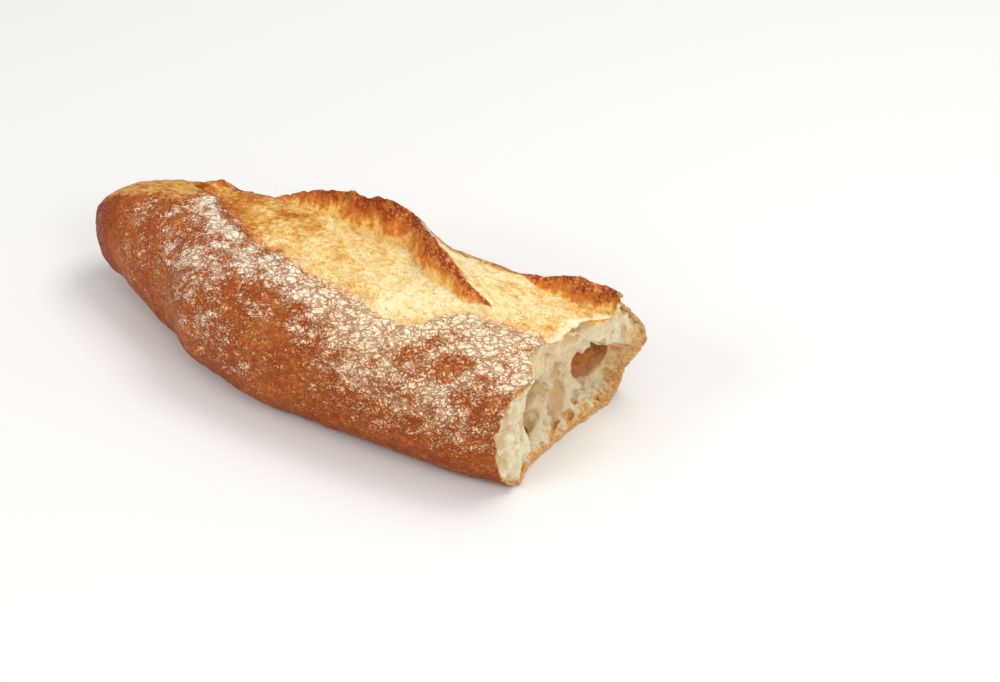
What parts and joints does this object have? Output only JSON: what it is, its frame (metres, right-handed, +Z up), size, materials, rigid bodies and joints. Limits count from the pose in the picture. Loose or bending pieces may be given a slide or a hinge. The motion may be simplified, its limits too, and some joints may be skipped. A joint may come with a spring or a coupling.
{
  "type": "ciabatta",
  "caption": "Torn ciabatta loaf: rounded tip, floured crust, slashes opened along the top with raised ears, and a torn open end of pale crumb.",
  "frame": {"origin": "centre of the bounding box's base, on the surface that the loaf lies on", "axes": "+X along the loaf from its rounded tip to its torn end, +Y to its back, +Z up"},
  "size_m": [0.2633, 0.1101, 0.0741],
  "materials": {
    "crust": "matte baked crust with flour"
  },
  "bodies": {
    "root": {"loaf": "crust"}
  },
  "joints": []
}
